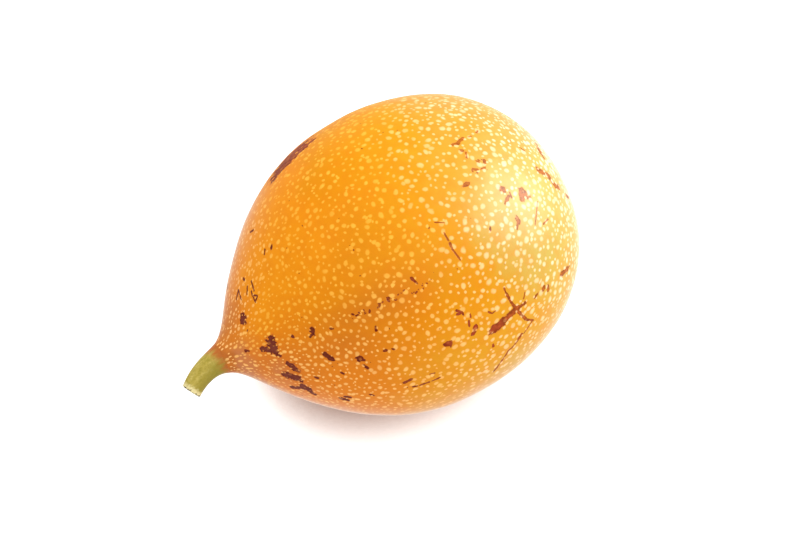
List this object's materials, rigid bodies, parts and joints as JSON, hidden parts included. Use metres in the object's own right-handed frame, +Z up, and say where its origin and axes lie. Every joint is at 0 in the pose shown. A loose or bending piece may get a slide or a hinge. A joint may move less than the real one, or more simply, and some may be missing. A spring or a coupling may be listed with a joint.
{
  "type": "granadilla",
  "caption": "Sweet granadilla fruit lying on its side: a hard egg-shaped orange rind with pale specks and dark scars, a short neck and a cut green stalk.",
  "frame": {"origin": "middle of the small flat spot that the fruit rests on, straight under its centre of mass", "axes": "+Z up; +X from the stalk to the blossom end, along the fruit; the stalk at -X bends towards -Y"},
  "size_m": [0.0882, 0.062, 0.0623],
  "materials": {
    "rind": "orange leathery rind with a soft wax gloss, pale specks and plum-brown scars",
    "stalk": "matt olive-green fibrous stalk, cream at the cut"
  },
  "bodies": {
    "root": {"fruit": "rind", "stalk": "stalk"}
  },
  "joints": []
}
